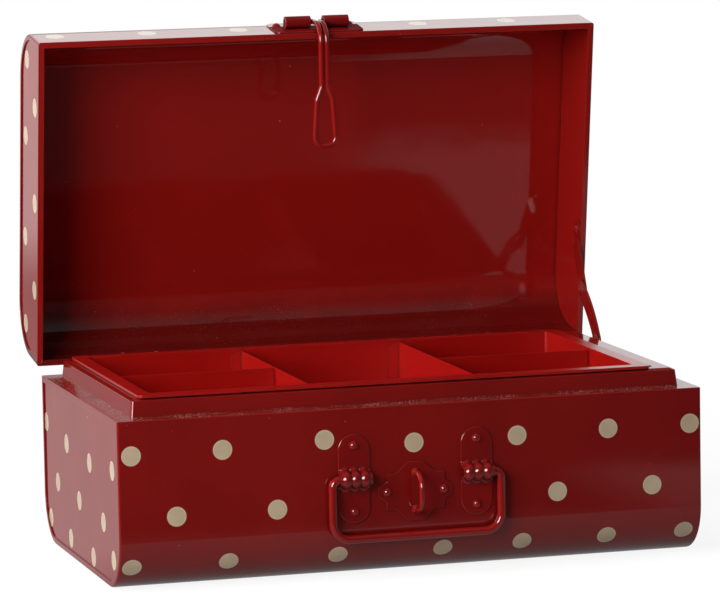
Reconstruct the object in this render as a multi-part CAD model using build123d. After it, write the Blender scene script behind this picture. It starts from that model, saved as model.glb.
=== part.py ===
"""A sheet-steel storage suitcase with a lift-out tray.

The frame's origin is the middle of the base's underside, with X along the case,
-Y towards the front and +Z up. All lengths are millimetres and all angles degrees.
The case is drawn standing open, with its lid back on its stay, its hasp hanging
over the lid's rim and its handle hanging down.
"""
import os
from math import asin, cos, hypot, pi, radians, sin

from build123d import *

# The case as a whole
case_length = 300.0
case_depth = 172.0
base_height = 85.0
lid_height = 46.0
sheet = 0.7
base_corner = 25.0
lid_corner = 26.0
seam_width = 3.0
fold_round = 1.2
rim_round = 0.5
seat_gap = 0.2
hole_clearance = 0.05
running_clearance = 0.08
overrun = 5.0
half_length = case_length / 2
half_depth = case_depth / 2
case_height = base_height + lid_height

# The ledge that the lid closes on, and the collar that stands on it
ledge_inset = 8.8
collar_height = 8.2
collar_lean = 0.9
shoulder_in = 2.0
shoulder_up = 1.0
collar_corner = 1.6
collar_end_flange = 7.3
collar_side_flange = 4.9
skirt_height = 6.0
collar_top = base_height + collar_height + shoulder_up
mitre_reach = ledge_inset + collar_lean + shoulder_in + collar_end_flange + overrun
opening_length = case_length - 2 * (ledge_inset + collar_lean + shoulder_in + collar_end_flange)
opening_depth = case_depth - 2 * (ledge_inset + collar_lean + shoulder_in + collar_side_flange)
opening_corner = 3.0

# The tray, loose in the collar's opening
tray_end_play = 5.4
tray_side_play = 1.7
tray_shift_share_x = -0.89
tray_shift_share_y = -0.88
tray_body_height = 26.0
tray_flange = 6.5
tray_hem = 3.0
tray_corner = 3.0
tray_floor_corner = 1.2
tray_length = opening_length - 2 * tray_end_play
tray_depth = opening_depth - 2 * tray_side_play
tray_x = tray_shift_share_x * tray_end_play
tray_y = tray_shift_share_y * tray_side_play
tray_top = collar_top + seat_gap + 2 * sheet
tray_floor = tray_top - tray_body_height
divider_share = 0.34
divider_drop = 1.0
divider_tab = 5.8
divider_foot = 6.0
divider_chamfer = 2.5
partition_gap = 1.0

# The lid and its hinges
lid_opening = 81.75
lid_hem = 3.0
hinge_standoff = 6.7
hinge_drop = 4.0
hinge_share = 0.6133
hinge_width = 30.0
hinge_sheet = 0.9
hinge_knuckle = 5.4
hinge_pin = 2.6
hinge_joints = 3
hinge_slot = 0.4
hinge_leaf_height = 21.0
hinge_neck = 6.0
hinge_leaf_corner = 4.0
hinge_rivet_share = 0.3
hinge_x = hinge_share * half_length
hinge_y = half_depth + hinge_standoff
hinge_z = base_height - hinge_drop
lid_rim = base_height + seat_gap

# Rivets
rivet_head = 4.7
rivet_dome = 1.5
rivet_shank = 2.4
rivet_tail = 4.0
rivet_tail_height = 0.7

# The carrying handle and its two saddles
saddle_x = 31.5
saddle_width = 16.3
saddle_height = 44.5
saddle_middle_share = 0.59
saddle_sheet = 0.8
saddle_edge = 0.55
saddle_rivet_inset = 5.8
saddle_lobes = 3
saddle_lobe_pitch_share = 0.29
saddle_lobe_skin = 1.45
saddle_lobe_set_back = 0.95
saddle_groove_skin = 0.6
saddle_groove_set_back = 0.35
saddle_sweep = 1.9
handle_wire = 4.3
handle_side_gap = 3.65
handle_drop = 29.7
handle_corner = 8.6
handle_end_gap = 1.2
handle_lift = 0.5
handle_bore = handle_wire / 2 + running_clearance
handle_y = -half_depth - saddle_sheet - handle_lift - handle_wire / 2
saddle_middle = saddle_middle_share * base_height
handle_z = saddle_middle
handle_width = 2 * saddle_x + saddle_width + 2 * handle_side_gap
handle_shoulder = handle_side_gap - running_clearance

# The lock plate and its staple
lock_middle_share = 0.4965
lock_width = 38.6
lock_height = 29.6
lock_outline_shares = [(0.218, 1.0), (0.528, 0.615), (0.782, 0.615), (0.782, 0.345), (1.0, 0.142)]
lock_rivet_x = 14.6
staple_wire = 2.6
staple_width = 18.4
staple_reach = 11.5
staple_corner = 7.0
staple_tail = 1.0
staple_foot = 4.6
staple_foot_height = 1.3
lock_edge = 0.25
lock_middle = lock_middle_share * base_height

# The hasp on the lid's front wall
hasp_plate_width = 48.0
hasp_plate_height = 23.0
hasp_plate_lift = 0.8
hasp_plate_corner = 4.0
hasp_plate_sheet = 0.8
hasp_edge = 0.3
hasp_axis_up = 10.2
hasp_barrel = 6.2
hasp_barrel_end = 17.0
hasp_barrel_gap = 7.0
hasp_rivet_x = 19.6
hasp_rivet_up = 17.0
hasp_wire = 2.7
hasp_neck = 3.1
hasp_forward = 14.0
hasp_fall = 1.0
hasp_bend = 10.0
hasp_neck_end = 33.0
hasp_shoulder_end = 40.0
hasp_shoulder_width = 8.4
hasp_loop_width = 11.6
hasp_loop_end = 64.0
hasp_loop_corner = 4.6
hasp_shoulder_bend = 4.0
hasp_end_bend = 1.9
hasp_end_gap = 0.6

# The folding stay at the right end
stay_sheet = 0.8
stay_width = 10.0
stay_pivot = 2.6
stay_head = 4.8
stay_dome = 1.1
stay_gap = 0.2
stay_lid_in = 57.0
stay_lid_up = 10.0
stay_elbow_in = 3.0
stay_elbow_up = 30.0
stay_foot_in = 28.0
stay_foot_up = 5.6
stay_bow = 2.2
stay_joggle_start = 4.4
stay_joggle_run = 3.4
stay_lug_width = 9.0

# Where the stay's layers lie between the collar and the lid's hem
hem_edge = half_length - lid_hem
stay_upper_x = hem_edge - stay_gap - stay_sheet
stay_lower_x = stay_upper_x - stay_gap - stay_sheet
stay_lug_x = stay_lower_x - stay_gap - stay_sheet
panel_inside = half_length - 2 * sheet


# Helpers for the sheet metal

def prism(points, up):
    """An upright block over a polygon given by its corners in plan."""
    return extrude(make_face(Polyline(*points, close=True)), up)


def plate_between(low, high):
    """A block between its lowest and its highest corner."""
    size = [b - a for a, b in zip(low, high)]
    middle = [(a + b) / 2 for a, b in zip(low, high)]
    return Pos(*middle) * Box(*size)


def arch(depth, foot, top, corner, rounded):
    """A face across the case between two heights, its lower or upper corners rounded."""
    face = Plane.YZ * Pos(0, foot) * Rectangle(depth, top - foot, align=(Align.CENTER, Align.MIN))
    level = face.vertices().group_by(Axis.Z)
    return fillet(level[0] if rounded == "low" else level[-1], corner)


def along_case(face, length):
    """The face drawn out along X by half of a length to each side."""
    return extrude(face, length / 2, both=True)


def round_bar(path, diameter):
    """A round wire along a path."""
    start = Plane(origin=path @ 0, z_dir=path % 0)
    return sweep(start * Circle(diameter / 2), path=path)


def rivet(grip, head=rivet_head, dome=rivet_dome, shank=rivet_shank, tail=rivet_tail,
          tail_height=rivet_tail_height):
    """A dome-headed rivet along Z, its head's underside at zero and its shank below."""
    ball = (head ** 2 / 4 + dome ** 2) / (2 * dome)
    rise = asin(head / 2 / ball) / 2
    rim = [(0, dome), (ball * sin(rise), dome - ball * (1 - cos(rise))), (head / 2, 0)]
    end = grip + tail_height
    flank = [(head / 2, 0), (shank / 2, 0), (shank / 2, -grip)]
    if tail > shank:
        flank += [(tail / 2, -grip), (tail / 2 - tail_height / 2, -end)]
    outline = [ThreePointArc(*rim), Polyline(*flank, (0, -end if tail > shank else -grip), (0, dome))]
    return revolve(Plane.XZ * make_face(outline), Axis.Z)


def facing(direction, place):
    """The place of a thing drawn along Z that faces along a direction."""
    return Plane(origin=place, z_dir=direction).location


def hole(direction, place, diameter, reach=overrun):
    """A round cutter along a direction through a place."""
    return facing(direction, place) * Cylinder(diameter / 2 + hole_clearance, 2 * reach)


def stack(levels, corner):
    """A block over rounded rectangles given as length, depth and height, from low to high."""
    faces = [Pos(0, 0, up) * RectangleRounded(long, deep, corner) for long, deep, up in levels]
    return loft(faces, ruled=True)


def opened(part):
    """A closed lid's piece swung back to where the lid stands open."""
    return part.rotate(Axis((0, hinge_y, hinge_z), (1, 0, 0)), -lid_opening)


def opened_point(y, z):
    """The place of a closed lid's point once the lid stands open."""
    turn = radians(-lid_opening)
    across, up = y - hinge_y, z - hinge_z
    return (hinge_y + across * cos(turn) - up * sin(turn), hinge_z + across * sin(turn) + up * cos(turn))


pieces = {}


# The base: one sheet bent up at front and back, and two end panels held in its folded edges

handle_rivet_ups = [saddle_middle + side * (saddle_height / 2 - saddle_rivet_inset) for side in (-1, 1)]
handle_rivet_places = [(side * saddle_x, up) for side in (-1, 1) for up in handle_rivet_ups]
lock_rivet_places = [(side * lock_rivet_x, lock_middle) for side in (-1, 1)]
staple_leg_ups = [lock_middle + side * staple_width / 2 for side in (-1, 1)]
hinge_rivet_xs = [mid + side * hinge_rivet_share * hinge_width
                  for mid in (-hinge_x, hinge_x) for side in (-1, 1)]
leaf_bend = hinge_neck
leaf_rivet_drop = leaf_bend + hinge_leaf_height / 2


def on_outline(edge, closed, corner):
    """Whether an edge of the wrap's end lies on its outer outline, where the sheet folds over."""
    middle = edge @ 0.5
    if edge.geom_type == GeomType.CIRCLE:
        return edge.radius > corner - hole_clearance
    return abs(middle.Y) > half_depth - hole_clearance or abs(middle.Z - closed) < hole_clearance


def long_edges(part, level):
    """The outermost edges along X at a height."""
    edges = part.edges().filter_by(Axis.X)
    return [edge for edge in edges if abs((edge @ 0.5).Z - level) < hole_clearance
            and abs((edge @ 0.5).Y) > half_depth - hole_clearance]


def wrap(foot, top, corner, rounded):
    """The sheet that runs round the case, with its ends folded in over the end panels."""
    floor, roof = (sheet, 0) if rounded == "low" else (0, sheet)
    fold_low, fold_high = (seam_width, 0) if rounded == "low" else (0, seam_width)
    outer = arch(case_depth, foot, top, corner, rounded)
    inner = arch(case_depth - 2 * sheet, foot + floor, top - roof, corner - sheet, rounded)
    inset = arch(case_depth - 2 * seam_width, foot + fold_low, top - fold_high, corner - seam_width,
                 rounded)
    shell = along_case(outer, case_length) - along_case(inner, case_length)
    fold = extrude(outer - inset, sheet)
    shell = shell + Pos(half_length - sheet) * fold + Pos(-half_length) * fold
    closed = foot if rounded == "low" else top
    ends = shell.edges().group_by(Axis.X)
    outline = [edge for edge in ends[0] + ends[-1] if on_outline(edge, closed, corner)]
    return fillet(outline, fold_round)


def end_panel(side, foot, top, corner, rounded):
    """A recessed end panel whose free edge is folded out level with the seam."""
    floor, roof = (sheet, 0) if rounded == "low" else (0, sheet)
    face = arch(case_depth - 2 * sheet, foot + floor, top - roof, corner - sheet, rounded)
    panel = extrude(face, sheet)
    half_band = half_depth - seam_width - hole_clearance
    edge = (top - seam_width, top) if rounded == "low" else (foot, foot + seam_width)
    band = plate_between((sheet, -half_band, edge[0]), (2 * sheet, half_band, edge[1]))
    free = band.edges().filter_by(Axis.Y).group_by(Axis.X)[-1].sort_by(Axis.Z)
    band = fillet(free[-1 if rounded == "low" else 0], rim_round)
    panel = Pos(panel_inside) * (panel + band)
    return panel if side > 0 else mirror(panel, Plane.YZ)


base_wrap = wrap(0, base_height, base_corner, "low")
base_wrap = fillet(long_edges(base_wrap, base_height), rim_round)
for x, up in handle_rivet_places + lock_rivet_places:
    base_wrap -= hole((0, 1, 0), (x, -half_depth, up), rivet_shank)
for up in staple_leg_ups:
    base_wrap -= hole((0, 1, 0), (0, -half_depth, up), staple_wire)
for x in hinge_rivet_xs:
    base_wrap -= hole((0, 1, 0), (x, half_depth, hinge_z - leaf_rivet_drop), rivet_shank)
pieces["base_wrap"] = base_wrap
pieces["base_end_left"] = end_panel(-1, 0, base_height, base_corner, "low")
pieces["base_end_right"] = end_panel(1, 0, base_height, base_corner, "low")


# The ledge and collar: four mitred rails that line the base's mouth

def collar_ring():
    """The whole collar before it is parted at its mitres."""
    inside_length = 2 * panel_inside
    inside_depth = case_depth - 2 * sheet
    foot = base_height - sheet
    ledge = Pos(0, 0, foot) * extrude(Rectangle(inside_length, inside_depth), sheet)
    skirt_outer = Rectangle(inside_length, inside_depth)
    skirt_inner = Rectangle(inside_length - 2 * sheet, inside_depth - 2 * sheet)
    ring = extrude(skirt_outer - skirt_inner, skirt_height - sheet)
    skirt = Pos(0, 0, base_height - skirt_height) * ring
    long, deep = case_length - 2 * ledge_inset, case_depth - 2 * ledge_inset
    lean, shoulder = 2 * collar_lean, 2 * (collar_lean + shoulder_in)
    bend = base_height + collar_height
    outer = stack([(long, deep, base_height), (long - lean, deep - lean, bend),
                   (long - shoulder, deep - shoulder, collar_top)], collar_corner)
    wall = 2 * sheet
    inner = stack([(long - wall, deep - wall, foot - sheet),
                   (long - lean - wall, deep - lean - wall, bend - sheet / 2),
                   (long - shoulder - wall, deep - shoulder - wall, collar_top - sheet)],
                  collar_corner - sheet)
    mouth = extrude(RectangleRounded(opening_length, opening_depth, opening_corner), case_height)
    return ledge + skirt + outer - inner - mouth


def mitre(side):
    """The share of the plan that one rail takes, out to the case's own corners."""
    reach = mitre_reach
    if side in ("front", "back"):
        flip = -1 if side == "front" else 1
        points = [(-half_length, flip * half_depth), (half_length, flip * half_depth),
                  (half_length - reach, flip * (half_depth - reach)),
                  (-half_length + reach, flip * (half_depth - reach))]
    else:
        flip = -1 if side == "left" else 1
        points = [(flip * half_length, -half_depth), (flip * half_length, half_depth),
                  (flip * (half_length - reach), half_depth - reach),
                  (flip * (half_length - reach), -half_depth + reach)]
    return prism(points, case_height)


stay_foot = (half_depth - stay_foot_in, base_height + stay_foot_up)


def stay_lug():
    """The ear that stands up from the right ledge and carries the stay's foot."""
    low, high = base_height - sheet, stay_foot[1]
    post = plate_between((0, -stay_lug_width / 2, low), (stay_sheet, stay_lug_width / 2, high))
    crown = Pos(stay_sheet / 2, 0, high) * Rot(0, 90, 0) * Cylinder(stay_lug_width / 2, stay_sheet)
    foot = plate_between((-stay_lug_width / 2, -stay_lug_width / 2, low),
                         (stay_sheet, stay_lug_width / 2, base_height))
    lug = Pos(stay_lug_x, stay_foot[0]) * (post + crown + foot)
    return lug - hole((1, 0, 0), (stay_lug_x, *stay_foot), stay_pivot)


ring = collar_ring()
for side in ("front", "back", "left", "right"):
    pieces[f"collar_{side}"] = ring & mitre(side)
pieces["collar_right"] = pieces["collar_right"] + stay_lug()


# The tray: a folded box with a hemmed flange, two dividers and two partitions

def tray_shell():
    """The box, with its rim turned out and hemmed back under itself."""
    lower = RectangleRounded(tray_length, tray_depth, tray_corner)
    box = Pos(0, 0, tray_floor) * extrude(lower, tray_body_height)
    box = fillet(box.faces().sort_by(Axis.Z)[0].edges(), tray_floor_corner)
    rim_length, rim_depth = tray_length + 2 * tray_flange, tray_depth + 2 * tray_flange
    rim = RectangleRounded(rim_length, rim_depth, tray_corner)
    flange = Pos(0, 0, tray_top - sheet) * extrude(rim, sheet)
    hem = rim - RectangleRounded(rim_length - 2 * tray_hem, rim_depth - 2 * tray_hem, tray_corner)
    hem = Pos(0, 0, tray_top - 2 * sheet) * extrude(hem, sheet)
    hollow = RectangleRounded(tray_length - 2 * sheet, tray_depth - 2 * sheet, tray_corner - sheet)
    hollow = Pos(0, 0, tray_floor + sheet) * extrude(hollow, tray_body_height)
    return box + flange + hem - hollow


divider_top = tray_top - divider_drop
divider_foot_level = tray_floor + sheet
divider_x = divider_share * tray_length / 2
inner_half_depth = tray_depth / 2 - sheet
inner_half_length = tray_length / 2 - sheet


def tab(width, top):
    """A tab against a wall in the XZ plane, from its fold at zero out to -X, its top cut off."""
    low = divider_foot_level
    points = [(0, low), (0, top), (-width, top - divider_chamfer), (-width, low)]
    return extrude(Plane.XZ * make_face(Polyline(*points, close=True)), sheet)


def tray_divider(side):
    """A crosswise sheet with a foot on the floor and a tab on each long wall."""
    wall = plate_between((0, -inner_half_depth, divider_foot_level),
                         (sheet, inner_half_depth, divider_top))
    foot = plate_between((-divider_foot, -inner_half_depth + sheet, divider_foot_level),
                         (0, inner_half_depth - sheet, divider_foot_level + sheet))
    tabs = [Pos(0, place) * tab(divider_tab, divider_top)
            for place in (inner_half_depth, -inner_half_depth + sheet)]
    part = wall + foot + tabs[0] + tabs[1]
    return Pos(side * divider_x - sheet / 2) * part


def tray_partition(side):
    """A lengthwise sheet with a foot on the floor and a tab at its left end."""
    left = -inner_half_length if side < 0 else divider_x + sheet / 2
    wall_right = -divider_x - sheet / 2 if side < 0 else inner_half_length
    wall = plate_between((left, -sheet / 2, divider_foot_level + sheet + seat_gap),
                         (wall_right - partition_gap, sheet / 2, divider_top))
    foot_left = left + sheet
    foot_right = wall_right - partition_gap - (divider_foot if side < 0 else 0)
    foot = plate_between((foot_left, -sheet / 2, divider_foot_level),
                         (foot_right, divider_foot, divider_foot_level + sheet))
    riser = plate_between((foot_left, -sheet / 2, divider_foot_level),
                          (foot_right, sheet / 2, divider_foot_level + sheet + seat_gap))
    end = plate_between((left, -sheet / 2, divider_foot_level),
                        (left + sheet, divider_tab, divider_top - divider_chamfer))
    return wall + foot + riser + end


def in_tray(part):
    """A piece of the tray, moved to where the tray lies."""
    return Pos(tray_x, tray_y) * part


pieces["tray_shell"] = in_tray(tray_shell())
for name, side in (("left", -1), ("right", 1)):
    pieces[f"tray_divider_{name}"] = in_tray(tray_divider(side))
    pieces[f"tray_partition_{name}"] = in_tray(tray_partition(side))


# Front hardware on the base

def tunnel_profile(skin, set_back):
    """The arch over the handle's wire, seen along X, swept out on both sides into the plate."""
    wall = -half_depth - saddle_sheet
    middle = handle_y + set_back
    radius = handle_bore + skin + set_back
    reach = radius + saddle_sweep
    away = wall - saddle_sweep - middle
    rise = (reach ** 2 - away ** 2) ** 0.5
    aim = Vector(1 - away / reach, rise / reach).normalized() * saddle_sweep
    low = [(wall, handle_z - rise), (wall - saddle_sweep + aim.X, handle_z - rise + aim.Y),
           (middle + away * radius / reach, handle_z - rise * radius / reach)]
    high = [(y, 2 * handle_z - z) for y, z in reversed(low)]
    crest = (middle - radius, handle_z)
    edges = [ThreePointArc(*low), ThreePointArc(low[-1], crest, high[0]), ThreePointArc(*high),
             Line(high[-1], low[0])]
    return Plane.YZ * make_face(edges)


def handle_saddle(side):
    """A riveted plate with a three-lobed tunnel that the handle turns in."""
    outline = SlotOverall(saddle_height, saddle_width, rotation=90)
    face = Plane(origin=(0, -half_depth, saddle_middle), x_dir=(1, 0, 0), z_dir=(0, -1, 0)) * outline
    plate = extrude(face, saddle_sheet)
    plate = fillet(plate.faces().sort_by(Axis.Y)[0].edges(), saddle_edge)
    groove = tunnel_profile(saddle_groove_skin, saddle_groove_set_back)
    crest = tunnel_profile(saddle_lobe_skin, saddle_lobe_set_back)
    pitch = saddle_lobe_pitch_share * saddle_width
    start = -saddle_lobes * pitch / 2
    margin = saddle_width / 2 + start
    part = plate + Pos(-saddle_width / 2) * extrude(groove, margin) + Pos(-start) * extrude(groove, margin)
    for lobe in range(saddle_lobes):
        left = start + lobe * pitch
        part += loft([Pos(left) * groove, Pos(left + pitch / 2) * crest, Pos(left + pitch) * groove])
    channel = Rot(0, 90, 0) * Cylinder(handle_bore, case_length)
    slot = plate_between((-case_length, 0, -handle_bore), (case_length, half_depth, handle_bore))
    part -= Pos(0, handle_y, handle_z) * (channel + slot)
    for up in handle_rivet_ups:
        part -= hole((0, 1, 0), (0, -half_depth, up), rivet_shank)
    return Pos(side * saddle_x) * part


pieces["handle_saddle_left"] = handle_saddle(-1)
pieces["handle_saddle_right"] = handle_saddle(1)
grip = saddle_sheet + sheet
pieces["handle_rivets"] = Compound([facing((0, -1, 0), (x, -half_depth - saddle_sheet, up)) * rivet(grip)
                                    for x, up in handle_rivet_places])


def carrying_handle():
    """A round wire bail whose two ends turn inwards into the saddles."""
    end_x = saddle_x - saddle_width / 2 + handle_end_gap
    side, low = handle_width / 2, handle_z - handle_drop
    points = [(-end_x, handle_z), (-side, handle_z), (-side, low),
              (side, low), (side, handle_z), (end_x, handle_z)]
    radii = [handle_shoulder, handle_corner, handle_corner, handle_shoulder]
    path = FilletPolyline(*[(x, handle_y, z) for x, z in points], radius=radii)
    return round_bar(path, handle_wire)


pieces["carrying_handle"] = carrying_handle()


def lock_plate():
    """The notched plate behind the staple."""
    quarter = [(lock_width / 2 * a, lock_height / 2 * b) for a, b in lock_outline_shares]
    right = quarter + [(x, -z) for x, z in reversed(quarter)]
    points = right + [(-x, z) for x, z in reversed(right)]
    plane = Plane(origin=(0, -half_depth, lock_middle), x_dir=(1, 0, 0), z_dir=(0, -1, 0))
    plate = extrude(plane * make_face(Polyline(*points, close=True)), sheet)
    plate = chamfer(plate.faces().sort_by(Axis.Y)[0].edges(), lock_edge)
    for x, up in lock_rivet_places:
        plate -= hole((0, 1, 0), (x, -half_depth, up), rivet_shank)
    for up in staple_leg_ups:
        plate -= hole((0, 1, 0), (0, -half_depth, up), staple_wire)
    return plate


def lock_staple():
    """The wire eye that takes a padlock, its legs upset into feet and put through the wall."""
    start, nose = -half_depth + sheet + staple_tail, -half_depth - staple_reach
    low, high = staple_leg_ups
    points = [(0, start, high), (0, nose, high), (0, nose, low), (0, start, low)]
    path = FilletPolyline(*points, radius=staple_corner)
    foot = Cone(staple_foot / 2, staple_wire / 2, staple_foot_height,
                align=(Align.CENTER, Align.CENTER, Align.MIN))
    feet = [facing((0, -1, 0), (0, -half_depth - sheet, up)) * foot for up in staple_leg_ups]
    return round_bar(path, staple_wire) + feet[0] + feet[1]


pieces["lock_plate"] = lock_plate()
grip = 2 * sheet
pieces["lock_plate_rivets"] = Compound([facing((0, -1, 0), (x, -half_depth - sheet, up)) * rivet(grip)
                                        for x, up in lock_rivet_places])
pieces["lock_staple"] = lock_staple()


# The hinges: leaves with swaged necks, three knuckles each, and a pin

def hinge_leaf(middle, up):
    """A leaf on the back wall and its neck out to the knuckles, above the axis or below it."""
    knuckle = hinge_knuckle / 2
    wall = half_depth
    bend = hinge_z + up * hinge_neck
    neck_top = hinge_z + up * (knuckle - hinge_sheet / 2)
    far = hinge_z + up * (hinge_neck + hinge_leaf_height)
    strip = plate_between((-hinge_width / 2, wall, min(bend, far)),
                          (hinge_width / 2, wall + hinge_sheet, max(bend, far)))
    corner = strip.edges().filter_by(Axis.Y).group_by(Axis.Z)[-1 if up > 0 else 0]
    strip = fillet(corner, hinge_leaf_corner)
    corners = [(wall, bend), (wall + hinge_sheet, bend), (hinge_y, neck_top + up * hinge_sheet / 2),
               (hinge_y, neck_top - up * hinge_sheet / 2)]
    neck = make_face(Polyline(*corners, close=True))
    roll = Pos(hinge_y, hinge_z) * Circle(knuckle)
    clearance = running_clearance if up > 0 else hole_clearance
    bore = Pos(hinge_y, hinge_z) * Circle(hinge_pin / 2 + clearance)
    section = Plane.YZ * (neck + roll - bore)
    pitch = hinge_width / hinge_joints
    part = strip
    for joint in range(hinge_joints):
        if (joint % 2 == 0) == (up < 0):
            start = -hinge_width / 2 + joint * pitch
            end = start + pitch
            if up > 0:
                start, end = start + hinge_slot / 2, end - hinge_slot / 2
            else:
                start = start + (hinge_slot / 2 if joint > 0 else 0)
                end = end - (hinge_slot / 2 if joint < hinge_joints - 1 else 0)
            part += Pos(start) * extrude(section, end - start)
    part = Pos(middle) * part
    for side in (-1, 1):
        place = (middle + side * hinge_rivet_share * hinge_width, wall, hinge_z + up * leaf_rivet_drop)
        part -= hole((0, 1, 0), place, rivet_shank)
    return part


grip = hinge_sheet + sheet
hinge_rivet = rivet(grip)
for name, middle in (("left", -hinge_x), ("right", hinge_x)):
    pieces[f"hinge_base_leaf_{name}"] = hinge_leaf(middle, -1)
    pieces[f"hinge_lid_leaf_{name}"] = opened(hinge_leaf(middle, 1))
    pin = Pos(middle, hinge_y, hinge_z) * Rot(0, 90, 0) * Cylinder(hinge_pin / 2, hinge_width)
    pieces[f"hinge_pin_{name}"] = pin
back_face = half_depth + hinge_sheet
low_rivets = [facing((0, 1, 0), (x, back_face, hinge_z - leaf_rivet_drop)) * hinge_rivet
              for x in hinge_rivet_xs]
high_rivets = [facing((0, 1, 0), (x, back_face, hinge_z + leaf_rivet_drop)) * hinge_rivet
               for x in hinge_rivet_xs]
pieces["hinge_base_rivets"] = Compound(low_rivets)
pieces["hinge_lid_rivets"] = Compound([opened(part) for part in high_rivets])


# The lid, drawn closed and swung open

stay_lid_place = (half_depth - stay_lid_in, lid_rim + stay_lid_up)
hasp_axis_closed = (-half_depth - hasp_plate_sheet - hasp_barrel / 2, lid_rim + hasp_axis_up)
hasp_rivet_z = lid_rim + hasp_rivet_up


def rim_hem(side):
    """The part of the lid's inward hem that one wall carries."""
    outer = Rectangle(2 * panel_inside, case_depth - 2 * sheet)
    inner = Rectangle(2 * hem_edge, 2 * (half_depth - lid_hem))
    ring = Pos(0, 0, lid_rim) * extrude(outer - inner, 2 * sheet)
    return ring & mitre(side)


lid_wrap = wrap(lid_rim, case_height, lid_corner, "high") + rim_hem("front") + rim_hem("back")
lid_wrap = fillet(long_edges(lid_wrap, lid_rim), rim_round)
for x in (-hasp_rivet_x, hasp_rivet_x):
    lid_wrap -= hole((0, 1, 0), (x, -half_depth, hasp_rivet_z), rivet_shank)
for x in hinge_rivet_xs:
    lid_wrap -= hole((0, 1, 0), (x, half_depth, hinge_z + leaf_rivet_drop), rivet_shank)
pieces["lid_wrap"] = opened(lid_wrap)
for name, side in (("left", -1), ("right", 1)):
    panel = end_panel(side, lid_rim, case_height, lid_corner, "high") + rim_hem(name)
    if side > 0:
        panel -= hole((1, 0, 0), (panel_inside, *stay_lid_place), stay_pivot)
    pieces[f"lid_end_{name}"] = opened(panel)


# The hasp: a plate with two rolled barrels, and the wire loop that swings in them

def hasp_plate():
    """The plate on the lid's front wall, drawn closed, with its tongues rolled into barrels."""
    low = lid_rim + hasp_plate_lift
    middle = low + hasp_plate_height / 2
    plane = Plane(origin=(0, -half_depth, middle), x_dir=(1, 0, 0), z_dir=(0, -1, 0))
    part = extrude(plane * RectangleRounded(hasp_plate_width, hasp_plate_height, hasp_plate_corner),
                   hasp_plate_sheet)
    part = chamfer(part.faces().sort_by(Axis.Y)[0].edges(), hasp_edge)
    y, z = hasp_axis_closed
    length = hasp_barrel_end - hasp_barrel_gap / 2
    radius = hasp_barrel / 2
    roll = Rot(0, 90, 0) * Cylinder(radius, length)
    root = plate_between((-length / 2, 0, radius - hasp_plate_sheet),
                         (length / 2, radius + hasp_plate_sheet, radius))
    bore = Rot(0, 90, 0) * Cylinder(hasp_wire / 2 + running_clearance, case_length)
    for side in (-1, 1):
        centre = side * (hasp_barrel_gap + length) / 2
        part += Pos(centre, y, z) * (roll + root)
    part -= Pos(0, y, z) * bore
    for x in (-hasp_rivet_x, hasp_rivet_x):
        part -= hole((0, 1, 0), (x, -half_depth, hasp_rivet_z), rivet_shank)
    return part


def hasp_loop():
    """The bottle-shaped wire loop, hanging plumb from the barrels of the open lid."""
    y, z = opened_point(*hasp_axis_closed)
    half = [(hasp_barrel_end - hasp_end_gap, 0, 0),
            (hasp_neck / 2, 0, 0),
            (hasp_neck / 2, -hasp_forward, -hasp_fall),
            (hasp_neck / 2, -hasp_forward, -hasp_neck_end),
            (hasp_shoulder_width / 2, -hasp_forward, -hasp_shoulder_end),
            (hasp_loop_width / 2, -hasp_forward, -hasp_loop_end)]
    points = [(-a, y + b, z + c) for a, b, c in half] + [(a, y + b, z + c) for a, b, c in reversed(half)]
    bends = [hasp_end_bend, hasp_bend, hasp_shoulder_bend, hasp_shoulder_bend, hasp_loop_corner]
    path = FilletPolyline(*points, radius=bends + bends[::-1])
    return round_bar(path, hasp_wire)


pieces["hasp_plate"] = opened(hasp_plate())
grip = hasp_plate_sheet + sheet
plate_face = -half_depth - hasp_plate_sheet
plate_rivets = [facing((0, -1, 0), (x, plate_face, hasp_rivet_z)) * rivet(grip)
                for x in (-hasp_rivet_x, hasp_rivet_x)]
pieces["hasp_plate_rivets"] = Compound([opened(part) for part in plate_rivets])
pieces["hasp_loop"] = hasp_loop()


# The stay: two flat arms that fold inside the lid

stay_top = opened_point(*stay_lid_place)
stay_elbow = (half_depth - stay_elbow_in, base_height + stay_elbow_up)


def arm_face(length, bow):
    """An arm's outline from one pivot at the origin to the other along +X, bowed to +Y."""
    half = stay_width / 2
    if bow == 0:
        return Pos(length / 2, 0) * SlotOverall(length + stay_width, stay_width)
    top = ThreePointArc((0, half), (length / 2, half + bow), (length, half))
    low = ThreePointArc((0, -half), (length / 2, -half + bow), (length, -half))
    ends = [Circle(half), Pos(length, 0) * Circle(half)]
    sides = [Line((0, half), (0, -half)), Line((length, half), (length, -half))]
    return make_face([top, low] + sides) + ends[0] + ends[1]


def stay_plane(x, start, end):
    """A plane across the case at x, from one pivot towards the other."""
    along = (0, end[0] - start[0], end[1] - start[1])
    return Plane(origin=(x, *start), x_dir=along, z_dir=(1, 0, 0))


def stay_upper_arm():
    """The straight arm from the lid's rivet, joggled in to pass the lid's hem."""
    length = hypot(stay_elbow[0] - stay_top[0], stay_elbow[1] - stay_top[1])
    far, near = panel_inside - stay_sheet, stay_upper_x
    bend = stay_joggle_start + stay_joggle_run
    start, end = -stay_width, length + stay_width
    run = [(start, far), (stay_joggle_start, far), (bend, near), (end, near)]
    back = [(a, b + stay_sheet) for a, b in reversed(run)]
    side_on = make_face(Polyline(*run, *back, close=True))
    plane = stay_plane(0, stay_top, stay_elbow)
    flank = Plane(origin=plane.origin - plane.y_dir * stay_width, x_dir=plane.x_dir, z_dir=-plane.y_dir)
    ribbon = extrude(flank * side_on, -2 * stay_width)
    outline = extrude(plane * arm_face(length, 0), case_length)
    part = ribbon & outline
    bore = stay_pivot + 2 * (running_clearance - hole_clearance)
    return part - hole((1, 0, 0), (panel_inside, *stay_top), bore)


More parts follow.
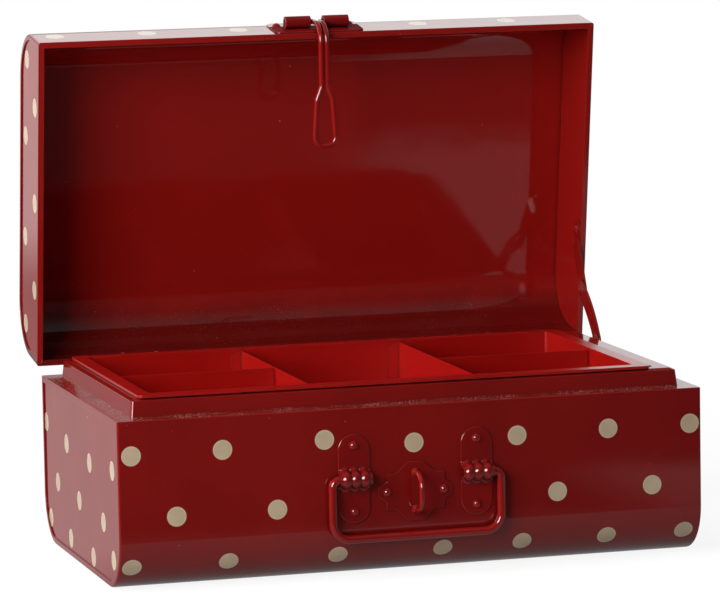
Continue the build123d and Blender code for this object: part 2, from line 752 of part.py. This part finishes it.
def stay_lower_arm():
    """The bowed arm from the elbow down to the ear on the ledge."""
    length = hypot(stay_foot[0] - stay_elbow[0], stay_foot[1] - stay_elbow[1])
    plane = stay_plane(stay_lower_x, stay_foot, stay_elbow)
    part = extrude(plane * arm_face(length, stay_bow), stay_sheet)
    loose = stay_pivot + 2 * (running_clearance - hole_clearance)
    part -= hole((1, 0, 0), (stay_lower_x, *stay_foot), loose)
    return part - hole((1, 0, 0), (stay_lower_x, *stay_elbow), stay_pivot)


def stay_rivet(place, inner, outer, tail):
    """A rivet along X between two faces, its dome on the inner one."""
    part = rivet(outer - inner, stay_head, stay_dome, stay_pivot, tail, sheet - hole_clearance)
    return facing((-1, 0, 0), (inner, *place)) * part


pieces["stay_upper_arm"] = stay_upper_arm()
pieces["stay_lower_arm"] = stay_lower_arm()
pieces["stay_lid_rivet"] = stay_rivet(stay_top, panel_inside - stay_sheet, half_length - sheet, stay_head)
pieces["stay_elbow_rivet"] = stay_rivet(stay_elbow, stay_lower_x, stay_lower_x + stay_sheet, 0)
foot_end = stay_lower_x + stay_sheet + running_clearance
pieces["stay_foot_rivet"] = stay_rivet(stay_foot, stay_lug_x, foot_end, rivet_tail)


# Write the pieces out

os.makedirs("parts", exist_ok=True)
for name, piece in pieces.items():
    solids = piece.solids()
    shape = solids[0] if len(solids) == 1 else Compound(list(solids))
    shape.label = name
    export_step(shape, f"parts/{name}.step")
    print(name, len(solids), "solid(s)", round(sum(s.volume for s in solids), 1), "mm3")

print("hinge axis y, z", round(hinge_y, 3), round(hinge_z, 3))
print("hasp axis y, z", [round(v, 3) for v in opened_point(*hasp_axis_closed)])
print("stay pivots y, z", [[round(v, 3) for v in p] for p in (stay_top, stay_elbow, stay_foot)])
print("handle axis y, z", round(handle_y, 3), round(handle_z, 3))
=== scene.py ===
"""A small storage suitcase of red enamelled sheet steel, standing open, with its lift-out tray.

The CAD pieces keep their shapes. This file lights them and paints them: enamel, printed
dots, dust, worn edges with a painted highlight on them, painted shade in nooks and along
the lid's low bend, and a brighter painted red inside the lid. All lengths are metres, in
the frame of the case.
"""
from math import cos, pi, radians, sin

import bpy
from mathutils import Matrix, Vector

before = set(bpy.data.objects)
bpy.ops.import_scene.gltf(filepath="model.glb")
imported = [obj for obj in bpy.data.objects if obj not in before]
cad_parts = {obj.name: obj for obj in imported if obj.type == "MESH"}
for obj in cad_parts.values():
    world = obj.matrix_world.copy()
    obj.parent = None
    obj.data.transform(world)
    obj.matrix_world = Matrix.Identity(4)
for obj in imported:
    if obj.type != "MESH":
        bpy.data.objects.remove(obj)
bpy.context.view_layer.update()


# The studio: a white table under soft lamps, which light the case but aren't mirrored in it.
# What the gloss mirrors is painted on the room and the table for mirrored rays alone: a dark
# room in front, a pale wall behind, and a soft box to the left of the camera.

class Amount:
    """A shader socket that takes part in plain arithmetic."""

    def __init__(self, finish, socket):
        self.finish, self.socket = finish, socket

    def work(self, operation, *values):
        """Works out one operation on sockets and numbers."""
        return self.finish.node("ShaderNodeMath", {"operation": operation},
                                dict(enumerate(values)))

    def __add__(self, other): return self.work("ADD", self, other)
    def __radd__(self, other): return self.work("ADD", other, self)
    def __sub__(self, other): return self.work("SUBTRACT", self, other)
    def __rsub__(self, other): return self.work("SUBTRACT", other, self)
    def __mul__(self, other): return self.work("MULTIPLY", self, other)
    def __rmul__(self, other): return self.work("MULTIPLY", other, self)
    def __truediv__(self, other): return self.work("DIVIDE", self, other)
    def __rtruediv__(self, other): return self.work("DIVIDE", other, self)
    def __abs__(self): return self.work("ABSOLUTE", self)
    def least(self, other): return self.work("MINIMUM", self, other)
    def most(self, other): return self.work("MAXIMUM", self, other)
    def root(self): return self.work("SQRT", self)
    def floor(self): return self.work("FLOOR", self)
    def fraction(self): return self.work("FRACT", self)
    def angle(self, other): return self.work("ARCTAN2", self, other)

    def rise(self, start, end):
        """Goes smoothly from 0 at the start to 1 at the end, which may lie either way round."""
        low, high, first, last = (start, end, 0, 1) if start < end else (end, start, 1, 0)
        return self.finish.node("ShaderNodeMapRange", {"interpolation_type": "SMOOTHSTEP"}, {
            "Value": self, "From Min": low, "From Max": high, "To Min": first, "To Max": last})


class Finish:
    """A tree of shader nodes: one finish on the case, the table or the room."""

    def __init__(self, name, world=False):
        self.data = bpy.data.worlds.new(name) if world else bpy.data.materials.new(name)
        self.data.use_nodes = True
        self.tree = self.data.node_tree
        self.tree.nodes.clear()

    def node(self, kind, settings=None, sockets=None, out=0):
        """Adds a node, sets it up, fills its sockets and returns one of its outputs."""
        node = self.tree.nodes.new(kind)
        for name, value in (settings or {}).items():
            setattr(node, name, value)
        for name, value in (sockets or {}).items():
            socket = node.inputs[name]
            if isinstance(value, Amount):
                self.tree.links.new(value.socket, socket)
            else:
                socket.default_value = value
        return Amount(self, node.outputs[out]) if node.outputs else None

    def place(self):
        """The point on the piece, in the frame of the case."""
        return self.node("ShaderNodeTexCoord", out="Object")

    def parts(self, vector):
        """The three numbers of a vector."""
        first = self.node("ShaderNodeSeparateXYZ", sockets={0: vector})
        return [Amount(self, output) for output in first.socket.node.outputs]

    def mix(self, share, first, second):
        """A colour that goes from the first to the second as the share goes from 0 to 1."""
        return self.node("ShaderNodeMix", {"data_type": "RGBA"},
                         {0: share, 6: first, 7: second}, 2)

    def blend(self, share, first, second):
        """The same for two surfaces."""
        return self.node("ShaderNodeMixShader", sockets={0: share, 1: first, 2: second})

    def glow(self, colour, strength):
        """A surface that gives light and takes none."""
        return self.node("ShaderNodeEmission", sockets={"Color": colour, "Strength": strength})

    def noise(self, vector, scale, detail=2, rough=0.5, shift=0.0):
        """Smooth noise from 0 to 1, in lumps a metre, shifted so that no two match."""
        moved = self.node("ShaderNodeMapping", sockets={
            "Vector": vector, "Location": (shift, -shift, shift / 2)})
        return self.node("ShaderNodeTexNoise", sockets={
            "Vector": moved, "Scale": scale, "Detail": detail, "Roughness": rough})

    def done(self, surface, kind="Material"):
        """Puts a surface on the tree's output and returns the material or the world."""
        self.node("ShaderNodeOutput" + kind, sockets={"Surface": surface})
        return self.data


def rays(finish):
    """Whether the eye looks straight at a thing or through glass, and whether it is mirrored."""
    straight, mirrored, through = [
        finish.node("ShaderNodeLightPath", out=name)
        for name in ("Is Camera Ray", "Is Glossy Ray", "Is Transmission Ray")]
    return straight.most(through), mirrored


def grey(level):
    """A colour without a tint, from 0 for black to 1 for white."""
    return (level, level, level, 1)


# The room, by the way that a mirrored ray leaves the case. The wall behind is dim at its
# foot, brighter to the right and brightest higher up. The sides and the ceiling are darker.
# Each pair of numbers says where a change starts and where it ends.
wall_foot, wall_right, wall_top = 0.40, 0.60, 1.65
side_shine, roof_shine, front_shine, room_light = 0.30, 0.20, 0.06, 0.08
box_shine, box_rim, box_core = 20.0, 0.955, 0.972
box_way = Vector((-0.62, -0.73, 0.30)).normalized()
to_back, to_head, to_height, to_right = (-0.10, 0.40), (0.64, 0.52), (0.15, 0.33), (0.20, 0.33)
to_side, to_roof = (0.80, 0.98), (0.45, 0.95)
room = Finish("studio_room", world=True)
seen, mirrored = rays(room)
across, deep, up = room.parts(room.node("ShaderNodeTexCoord", out="Generated"))
foot = across.rise(*to_right) * wall_right + wall_foot
wall = foot + up.rise(*to_height) * (wall_top - foot)
behind = deep.rise(*to_back) * up.rise(*to_head) * wall
aside = abs(across).rise(*to_side) * side_shine
above = up.rise(*to_roof) * roof_shine
toward = across * box_way.x + deep * box_way.y + up * box_way.z
soft_box = toward.rise(box_rim, box_core) * box_shine
shine = behind.most(aside).most(above).most(soft_box) + front_shine
strength = seen + (1 - seen) * (mirrored * shine + (1 - mirrored) * room_light)
sky = room.node("ShaderNodeBackground", sockets={"Color": grey(1), "Strength": strength})
bpy.context.scene.world = room.done(sky, "World")

# The table, by the place on it. Mirrored, it is dark just in front of the case, pale behind
# it with a dip a metre back, and has a card lying to the right. Seen, it fades to white.
far_shine, dip_shine, beyond_shine = 0.55, 0.30, 0.25
near_shine, dark_shine, card_shine = 0.30, 0.05, 0.32
lit_grey, shaded_grey, plain_light, bare_light = 0.40, 0.16, 0.88, 1.0
to_far, into_dip, out_of_dip, to_beyond = (-0.10, 0.06), (0.55, 0.80), (1.40, 1.10), (1.30, 1.60)
to_near, to_white = (-0.26, -0.16), (0.28, 0.62)
card_left, card_front = (0.14, 0.22), (-0.39, -0.33)
table_reach, table_drop, warm_white = 8.0, 0.0002, (1.12, 0.97, 0.97, 1)
table = Finish("white_table")
seen, mirrored = rays(table)
across, deep, up = table.parts(table.place())
behind = deep.rise(*to_far)
dip = deep.rise(*into_dip) * deep.rise(*out_of_dip) * (far_shine - dip_shine)
back = far_shine - dip + deep.rise(*to_beyond) * beyond_shine
card = across.rise(*card_left) * deep.rise(*card_front) * card_shine
front = (deep.rise(*to_near) * near_shine).most(card) + dark_shine
warmth = table.mix(behind, grey(1), warm_white)
glossy = table.glow(warmth, behind * back + (1 - behind) * front)
lit = table.node("ShaderNodeBsdfDiffuse", sockets={"Color": grey(lit_grey)})
shaded = table.node("ShaderNodeBsdfDiffuse", sockets={"Color": grey(shaded_grey)})
near = table.node("ShaderNodeAddShader", sockets={0: shaded, 1: table.glow(grey(1), plain_light)})
away = (across * across + deep * deep).root()
straight = table.blend(away.rise(*to_white), near, table.glow(grey(1), bare_light))
top = table.blend(mirrored, table.blend(seen, lit, straight), glossy)
mesh = bpy.data.meshes.new("studio_table")
corners = [(-1, -1), (1, -1), (1, 1), (-1, 1)]
mesh.from_pydata([(x * table_reach, y * table_reach, -table_drop) for x, y in corners],
                 [], [(0, 1, 2, 3)])
mesh.materials.append(table.done(top))
floor = bpy.data.objects.new("studio_table", mesh)
bpy.context.collection.objects.link(floor)


def soft_lamp(name, place, aim, size, power):
    """A rectangular soft lamp that faces a point on the case."""
    lamp = bpy.data.lights.new(name, "AREA")
    lamp.shape, lamp.size, lamp.size_y, lamp.energy = "RECTANGLE", *size, power
    holder = bpy.data.objects.new(name, lamp)
    holder.location = place
    holder.rotation_mode = "QUATERNION"
    holder.rotation_quaternion = (Vector(aim) - Vector(place)).to_track_quat("-Z", "Y")
    holder.visible_camera = holder.visible_glossy = False
    bpy.context.collection.objects.link(holder)


# Three lamps give the light of the photograph, and two low ones fill the right end and back.
soft_lamp("front_box", (-0.87, -0.73, 0.52), (0, -0.04, 0.08), (0.68, 0.68), 11.7)
soft_lamp("side_box", (-1.43, -0.10, 0.55), (0, 0, 0.1), (0.70, 0.60), 14.1)
soft_lamp("top_box", (-0.45, -0.08, 1.52), (0, 0, 0.1), (0.80, 0.80), 8.8)
soft_lamp("right_fill", (1.35, 0.38, 0.16), (0, 0.05, 0.16), (0.60, 0.26), 10.0)
soft_lamp("back_fill", (0.10, 1.55, 0.18), (0, 0, 0.18), (1.20, 0.30), 12.0)

# The camera is turned to the right, tipped down and rolled a little, far off with a long lens.
view = bpy.data.cameras.new("photo_view")
view.sensor_width, view.sensor_fit = 36.0, "HORIZONTAL"
view.lens = 225.53
view.clip_start, view.clip_end = 0.1, 60
camera = bpy.data.objects.new("photo_view", view)
yaw, pitch, roll = radians(16.059), radians(7.249), radians(-0.986)
ahead = Vector((sin(yaw) * cos(pitch), cos(yaw) * cos(pitch), -sin(pitch)))
level_right = Vector((cos(yaw), -sin(yaw), 0))
level_up = level_right.cross(ahead)
right = cos(roll) * level_right + sin(roll) * level_up
upward = -sin(roll) * level_right + cos(roll) * level_up
stand = Matrix((right, upward, -ahead)).transposed().to_4x4()
stand.translation = Vector((-0.6314, -2.1864, 0.4162))
camera.matrix_world = stand
bpy.context.collection.objects.link(camera)
bpy.context.scene.camera = camera
bpy.context.scene.view_settings.view_transform = "Standard"


# The base: one sheet bent up at the front and the back, and two end panels held in its
# folded ends. It is mild steel in gloss enamel, which is a little wavy like an orange's
# skin, holds specks of dust, and is printed with beige dots before the sheet is bent.

def srgb(red, green, blue):
    """A colour given as it is read off a screen, from 0 to 255, as the renderer needs it."""
    share = [v / 255 for v in (red, green, blue)]
    return tuple(v / 12.92 if v < 0.04045 else ((v + 0.055) / 1.055) ** 2.4 for v in share) + (1,)


case_red = srgb(124, 17, 14)
case_deep = srgb(116, 15, 12)
# A brighter red, painted light for the inside of the lid.
inside_lit_red = srgb(139, 20, 16)
# The dark red-brown of painted shade, in nooks and along the lid's low bend.
shade_colour = srgb(52, 12, 10)
# A paler red for worn edges, which is also a painted highlight along them.
edge_sheen_red = srgb(178, 62, 54)
dust_grey = srgb(190, 150, 138)
dot_beige = srgb(189, 169, 141)
dot_dull = srgb(182, 161, 134)
dot_pale = srgb(204, 189, 166)


def enamel(name, first=case_red, second=case_deep, gloss=0.07, dots=None, soil=None, painted_shade=None,
           inner=None, bend=None, fold=0.0003, wave=1.0, peel=1.0, wear_and_sheen=0.5, specks=1.0):
    """Gloss enamel on steel. The functions that are given say where it is printed with dots,
    holds dust, takes painted shade, is painted a brighter red inside as painted light, or has
    a slope pressed into it."""
    smear_rough, print_rough, dust_rough = 0.07, 0.03, 0.35
    nook_reach, nook_shade, ring_pale, dust_pale = 0.0025, 0.75, 0.6, 0.6
    peel_height, wave_height, speck_height, print_height = 0.000004, 0.00012, 0.00001, 0.000012
    paint = Finish(name)
    place = paint.place()

    # The red drifts a little from place to place, and so does the gloss.
    drift = paint.noise(place, scale=22, detail=3, rough=0.55)
    colour = paint.mix(drift.rise(0.3, 0.7), second, first)
    # Painted light: the lid's inner skin is given a brighter red.
    if inner is not None:
        colour = paint.mix(inner(paint, place), colour, inside_lit_red)
    smear = paint.noise(place, scale=60, detail=4, rough=0.6, shift=3.1)
    rough = gloss + (smear - 0.5) * smear_rough

    # It draws round over every edge and is worn thin there in patches. The paler red on the edges
    # is partly that and partly a painted highlight for the gloss along them.
    rounded = paint.node("ShaderNodeBevel", {"samples": 6}, {"Radius": fold})
    flat = paint.node("ShaderNodeNewGeometry", out="Normal")
    level = paint.node("ShaderNodeVectorMath", {"operation": "DOT_PRODUCT"},
                       {0: rounded, 1: flat}, "Value")
    patchy = paint.noise(place, scale=420, detail=4, rough=0.7, shift=1.7).rise(0.35, 0.60)
    rubbed_and_sheen = (1 - level).rise(0.01, 0.15) * patchy
    colour = paint.mix(rubbed_and_sheen * wear_and_sheen, colour, edge_sheen_red)

    # Specks of dust were caught in it here and there.
    grains = paint.node("ShaderNodeTexVoronoi", {"feature": "F1"},
                        {"Vector": place, "Scale": 240.0}, "Distance")
    sparse = paint.noise(place, scale=95, shift=7.7).rise(0.62, 0.74)
    dust = grains.rise(0.10, 0.05) * sparse * specks
    if soil is not None:
        dust = dust.most(soil(paint, place))

    # The dots are screened on in beige, a little uneven, with a paler raised rim.
    if dots is not None:
        share, ring = dots(paint, place)
        uneven = paint.noise(place, scale=70, detail=3, rough=0.6, shift=5.2).rise(0.35, 0.65)
        beige = paint.mix(uneven, dot_beige, dot_dull)
        beige = paint.mix(ring * ring_pale, beige, dot_pale)
        colour = paint.mix(share, colour, beige)
        rough = rough + share * print_rough

    # Painted shade darkens every nook, the more the less open space lies round a point, and dust
    # lies over all of it.
    nook = paint.node("ShaderNodeAmbientOcclusion", {"samples": 4, "only_local": False},
                      {"Distance": nook_reach}, "AO")
    dark = nook.rise(0.90, 0.35) * nook_shade
    # A given function adds more painted shade, such as along the lid's low bend.
    if painted_shade is not None:
        dark = dark.most(painted_shade(paint, place))
    colour = paint.mix(dark, colour, shade_colour)
    colour = paint.mix(dust * dust_pale, colour, dust_grey)
    rough = rough + dust * dust_rough

    # The skin's own relief: fine orange peel, longer sags, specks and the printing's step.
    skin = paint.noise(place, scale=640, shift=2.2)
    sag = paint.noise(place, scale=30, rough=0.45, shift=4.4)
    height = skin * (peel_height * peel) + sag * (wave_height * wave) + dust * speck_height
    if dots is not None:
        height = height + share * print_height
    if bend is not None:
        height = height + bend(paint, place)
    bumped = paint.node("ShaderNodeBump", sockets={
        "Strength": 1.0, "Distance": 1.0, "Height": height, "Normal": rounded})
    return paint.done(paint.node("ShaderNodeBsdfPrincipled", sockets={
        "Base Color": colour, "Roughness": rough, "Normal": bumped, "IOR": 1.5}))


def dress(material, slot, *nodes):
    """Puts a finish on CAD pieces."""
    for name in nodes:
        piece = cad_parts[name]
        piece.data.materials.clear()
        piece.data.materials.append(material)


# A dot, the softness of its edge, and where its raised rim lies inside that edge.
dot_radius, dot_blur = 0.00485, 0.00018
ring_outside, ring_inside = 0.0003, 0.0008


def dot_share(away):
    """How much of a dot a point lies in, and of its raised rim, by its way from the middle."""
    share = away.rise(dot_radius + dot_blur, dot_radius - dot_blur)
    return share, away.rise(dot_radius - ring_inside, dot_radius - ring_outside) * share


def spots(first, second, places):
    """Dots at measured places, in two of a sheet's own directions."""
    near = None
    for a, b in places:
        along, over = first - a, second - b
        away = (along * along + over * over).root()
        near = away if near is None else near.least(away)
    return dot_share(near)


def lattice(first, second, shift_a, shift_b):
    """The printing's own staggered rows, where the photograph shows no dots to measure."""
    pitch, rows = 0.0488, 0.0302
    row = ((second - shift_b) / rows + 0.5).floor()
    odd = (row * 0.5).fraction() * 2
    step = (first - shift_a) / pitch + odd * 0.5
    along = ((step + 0.5).floor() - step) * pitch
    over = second - shift_b - row * rows
    return dot_share((along * along + over * over).root())


# The base's half depth and the radius of its lower bends, how far below the outer skin the
# printing ends, how soft a change is from one set of dots to the next, and where the rows
# at the back start.
half_depth, base_corner = 0.086, 0.025
skin_inside, skin_outside, seam = 0.0004, 0.0002, 0.0001
back_start, back_row = 0.003, 0.0671
front_dots = [(-0.1433, 0.0680), (-0.0976, 0.0684), (-0.0461, 0.0702), (-0.0004, 0.0662),
              (0.0530, 0.0665), (0.1007, 0.0671), (0.1439, 0.0671), (-0.1212, 0.0370),
              (-0.0705, 0.0372), (-0.0315, 0.0370), (0.0315, 0.0368), (0.0738, 0.0370),
              (0.1237, 0.0372), (-0.1434, 0.0119), (-0.0948, 0.0119), (-0.0392, 0.0112),
              (0.0148, 0.0112), (0.0559, 0.0119), (0.1004, 0.0119), (0.1413, 0.0119)]


def base_sheet_dots(paint, place):
    """Dots on the outer skin of the base's sheet, measured along it as if it lay flat."""
    x, y, z = paint.parts(place)
    straight = half_depth - base_corner
    past = (abs(y) - straight).most(0)
    under = (base_corner - z).most(0)
    bend = past.angle(under) * base_corner
    run = abs(y).least(straight) + bend + (z - base_corner).most(0)
    height = run - (straight + base_corner * (pi / 2 - 1))
    reach = (past * past + under * under).root()
    outside = reach.rise(base_corner - skin_inside, base_corner - skin_outside)
    share, ring = spots(x, height, front_dots)
    other, other_ring = lattice(x, height, back_start, back_row)
    shown = height.rise(-seam, seam) * y.rise(seam, -seam)
    share = (share * shown + other * (1 - shown)) * outside
    return share, (ring * shown + other_ring * (1 - shown)) * outside


def end_dots(places, side, lie=Finish.parts):
    """Dots on the outer face of an end panel, measured where the piece lies or once lay."""
    panel_inside, panel_outside = 0.14925, 0.14929

    def dots(paint, place):
        x, y, z = lie(paint, place)
        share, ring = spots(y, z, places)
        outside = (x * side).rise(panel_inside, panel_outside)
        return share * outside, ring * outside
    return dots


base_left_dots = [(0.0792, 0.0616), (0.0319, 0.0571), (-0.0200, 0.0551), (-0.0702, 0.0588),
                  (0.0548, 0.0337), (0.0051, 0.0321), (-0.0487, 0.0299), (0.0735, 0.0122),
                  (0.0267, 0.0092), (-0.0246, 0.0083), (-0.0696, 0.0144)]
base_right_dots = [(-0.0738, 0.0601), (-0.0262, 0.0583), (0.0231, 0.0572), (0.0724, 0.0591),
                   (-0.0502, 0.0331), (-0.0012, 0.0318), (0.0485, 0.0325), (-0.0692, 0.0118),
                   (-0.0255, 0.0085), (0.0240, 0.0090), (0.0701, 0.0139)]
dress(enamel("base_sheet_enamel", dots=base_sheet_dots), "case_red", "base_wrap")
dress(enamel("base_left_enamel", dots=end_dots(base_left_dots, -1), wave=1.4),
      "case_red", "base_end_left")
dress(enamel("base_right_enamel", dots=end_dots(base_right_dots, 1), wave=1.4),
      "case_red", "base_end_right")


# The collar: four plain rails of bent steel sheet round the mouth, mitred at the corners and
# enamelled with the base. Grit lies along the groove where the collar rises from its ledge,
# and a thin haze on the ledge itself.

def collar_dust(paint, place):
    """Pale grit in the groove round the collar's foot, and a thin haze on the ledge."""
    ledge, groove_x, groove_y, soft = 0.0850, 0.1402, 0.0762, 0.0004
    grit_share, haze_share = 0.75, 0.10
    x, y, z = paint.parts(place)
    low = z.rise(ledge + 0.0012, ledge + 0.0003) * z.rise(ledge - 0.0003, ledge - 0.0001)
    outer = abs(x).rise(groove_x - soft, groove_x + soft)
    outer = outer.most(abs(y).rise(groove_y - soft, groove_y + soft))
    grit = paint.noise(place, scale=1100, detail=4, rough=0.75, shift=9.1).rise(0.50, 0.62)
    runs = paint.noise(place, scale=60, shift=6.1).rise(0.30, 0.55)
    thin = paint.noise(place, scale=500, detail=4, rough=0.7, shift=8.4).rise(0.60, 0.75)
    haze = z.rise(ledge + 0.0003, ledge + 0.0001) * thin * haze_share
    return (low * outer * grit * runs * grit_share).most(haze)


dress(enamel("collar_enamel", soil=collar_dust), "case_red",
      "collar_front", "collar_back", "collar_left", "collar_right")


# The lid: a bent sheet and two end panels of the same steel, the other way up, hung on the
# back. Its dots are measured with the lid shut, so each point is first turned back to where
# it is then. Inside, its red is painted brighter, which is painted light, and dust settles in
# its lower bend. Painted shade darkens the bend that lies lowest when the lid stands open.

# How far the lid stands open, the line it turns on, the radius of its bends, its height when
# shut, where its bends begin, and where its rows of dots start.
lid_turn = radians(81.75)
hinge_y, hinge_z, lid_corner, roof_level = 0.0927, 0.0810, 0.026, 0.131
lid_shoulder = roof_level - lid_corner
lid_start, lid_row = -0.0165, -0.0160


def shut(paint, place):
    """Where a point of the open lid lies when the lid is shut."""
    x, y, z = paint.parts(place)
    back, rise = y - hinge_y, z - hinge_z
    return (x, back * cos(lid_turn) - rise * sin(lid_turn) + hinge_y,
            back * sin(lid_turn) + rise * cos(lid_turn) + hinge_z)


def lid_sheet_dots(paint, place):
    """Dots on the outer skin of the lid's sheet, measured along it as if it lay flat."""
    x, y, z = shut(paint, place)
    straight = half_depth - lid_corner
    past = (abs(y) - straight).most(0)
    over = (z - lid_shoulder).most(0)
    bend = past.angle(over) * lid_corner
    run = abs(y).least(straight) + bend + (lid_shoulder - z).most(0)
    reach = (past * past + over * over).root()
    outside = reach.rise(lid_corner - skin_inside, lid_corner - skin_outside)
    side = y.rise(-seam, seam) * 2 - 1
    share, ring = lattice(x, run * side, lid_start, lid_row)
    return share * outside, ring * outside


def lid_inside(paint, place):
    """The inner skin of the lid, whose red is painted brighter as painted light."""
    end_inside, end_outside = 0.1490, 0.1494
    x, y, z = shut(paint, place)
    past = (abs(y) - (half_depth - lid_corner)).most(0)
    over = (z - lid_shoulder).most(0)
    reach = (past * past + over * over).root()
    sheet = reach.rise(lid_corner - skin_outside, lid_corner - skin_inside)
    return sheet * abs(x).rise(end_outside, end_inside)


def lid_dust(paint, place):
    """Dust that has settled in the lid's lower bend and above it, inside the end panels."""
    dust_top, dust_foot, dust_share, face, soft = 0.128, 0.098, 0.16, 0.1483, 0.0003
    x, y, z = paint.parts(place)
    low = z.rise(dust_top, dust_foot)
    inside = abs(x).rise(face + soft, face - soft)
    grit = paint.noise(place, scale=700, detail=5, rough=0.75, shift=3.9).rise(0.52, 0.70)
    patch = paint.noise(place, scale=42, detail=3, rough=0.6, shift=5.5).rise(0.35, 0.70)
    return low * inside * grit * patch * dust_share


def lid_low_shade(paint, place):
    """Painted shade: a darker strip along the bend that lies lowest when the lid stands open, on
    both faces of the sheet.
    """
    shade_top, shade_foot, ragged_height, shade_share = 0.122, 0.104, 0.012, 0.6
    x, y, z = paint.parts(place)
    ragged = paint.noise(place, scale=55, detail=4, rough=0.6, shift=6.6) * ragged_height
    return (z + ragged).rise(shade_top, shade_foot) * shade_share


lid_left_dots = [(-0.0708, 0.1167), (-0.0493, 0.0972), (-0.0298, 0.1190), (0.0014, 0.0962),
                 (0.0244, 0.1190), (0.0478, 0.0960), (0.0711, 0.1167)]
lid_right_dots = [(-0.0655, 0.0990), (-0.0440, 0.1185), (-0.0205, 0.0968), (0.0035, 0.1192),
                  (0.0260, 0.0966), (0.0515, 0.1187), (0.0720, 0.0985)]
dress(enamel("lid_sheet_enamel", dots=lid_sheet_dots, soil=lid_dust, painted_shade=lid_low_shade,
             inner=lid_inside, wave=1.5), "case_red", "lid_wrap")
dress(enamel("lid_left_enamel", dots=end_dots(lid_left_dots, -1, shut), inner=lid_inside),
      "case_red", "lid_end_left")
dress(enamel("lid_right_enamel", dots=end_dots(lid_right_dots, 1, shut), inner=lid_inside),
      "case_red", "lid_end_right")


# The hinges: two leaves of pressed steel each, rolled round a pin and held by dome rivets.
# They go on before the enamel, which lies thicker on them and draws round over their edges.

fitting_red = srgb(124, 16, 14)
fitting_deep = srgb(112, 13, 12)
fitting_enamel = enamel("fitting_enamel", fitting_red, fitting_deep, gloss=0.045, fold=0.00035,
                        wave=0.5, wear_and_sheen=0.3, specks=0.5)
rivet_enamel = enamel("rivet_enamel", srgb(130, 18, 15), fitting_red, gloss=0.04, fold=0.0001,
                      wave=0.2, peel=0.4, wear_and_sheen=0.1, specks=0.3)
dress(fitting_enamel, "hardware_red", "hinge_base_leaf_left", "hinge_base_leaf_right",
      "hinge_lid_leaf_left", "hinge_lid_leaf_right")
dress(rivet_enamel, "hardware_red", "hinge_base_rivets", "hinge_lid_rivets",
      "hinge_pin_left", "hinge_pin_right")


# The stay at the right end: two flat arms of strip steel that turn on three rivets. Its
# enamel is duller than the rest, because the arms rub as they fold.

stay_enamel = enamel("stay_enamel", fitting_red, fitting_deep, gloss=0.22, wave=0.6, wear_and_sheen=0.3)
dress(stay_enamel, "hardware_red", "stay_upper_arm", "stay_lower_arm", "stay_lid_rivet",
      "stay_elbow_rivet", "stay_foot_rivet")


# The handle: a bow of drawn wire that hangs in two saddles of pressed steel, each held by
# two dome rivets. The wire is dipped, so its enamel is smooth, with few specks.

wire_enamel = enamel("wire_enamel", srgb(138, 19, 17), srgb(120, 15, 13), gloss=0.05,
                     fold=0.0001, wave=0.35, peel=0.8, wear_and_sheen=0.05, specks=0.4)
dress(fitting_enamel, "hardware_red", "handle_saddle_left", "handle_saddle_right")
dress(rivet_enamel, "hardware_red", "handle_rivets")
dress(wire_enamel, "hardware_red", "carrying_handle")


# The lock: a notched plate of pressed steel with two rivets, and a staple of bent wire that
# stands out of it for a padlock.

dress(fitting_enamel, "hardware_red", "lock_plate")
dress(rivet_enamel, "hardware_red", "lock_plate_rivets")
dress(wire_enamel, "hardware_red", "lock_staple")


# The hasp: a steel plate riveted to the lid, with two tongues rolled into barrels, in which
# a bottle-shaped loop of wire swings. The plate's lower part is pressed in towards the rim.

# The height at which the plate is bent, with the lid shut, and how steeply.
bend_line, bend_slope = 0.1005, -0.21


def plate_bend(paint, place):
    """The slope of the plate's lower part, as if the lid were shut."""
    x, y, z = shut(paint, place)
    return (bend_line - z).most(0) * bend_slope


dress(enamel("hasp_enamel", fitting_red, fitting_deep, gloss=0.08, wave=0.5, bend=plate_bend),
      "hardware_red", "hasp_plate")
dress(rivet_enamel, "hardware_red", "hasp_plate_rivets")
dress(wire_enamel, "hardware_red", "hasp_loop")


# The tray: thinner sheet steel, folded and hemmed, with dividers and partitions set in. It is
# sprayed a brighter satin red, which leaves a fine grain, and lint lies in its bays.

tray_red = srgb(154, 16, 12)
tray_deep = srgb(145, 13, 9)


def tray_dust(paint, place):
    """Faint lint on the tray's floor."""
    tray_floor, soft, lint_share = 0.0710, 0.0005, 0.25
    x, y, z = paint.parts(place)
    lint = paint.noise(place, scale=520, detail=4, rough=0.7, shift=2.9).rise(0.60, 0.78)
    return lint * z.rise(tray_floor + soft, tray_floor - soft) * lint_share


dress(enamel("tray_satin", tray_red, tray_deep, gloss=0.30, soil=tray_dust, wave=0.6, peel=1.6,
             wear_and_sheen=0.2, specks=0.6), "tray_red", "tray_shell", "tray_divider_left",
      "tray_divider_right", "tray_partition_left", "tray_partition_right")
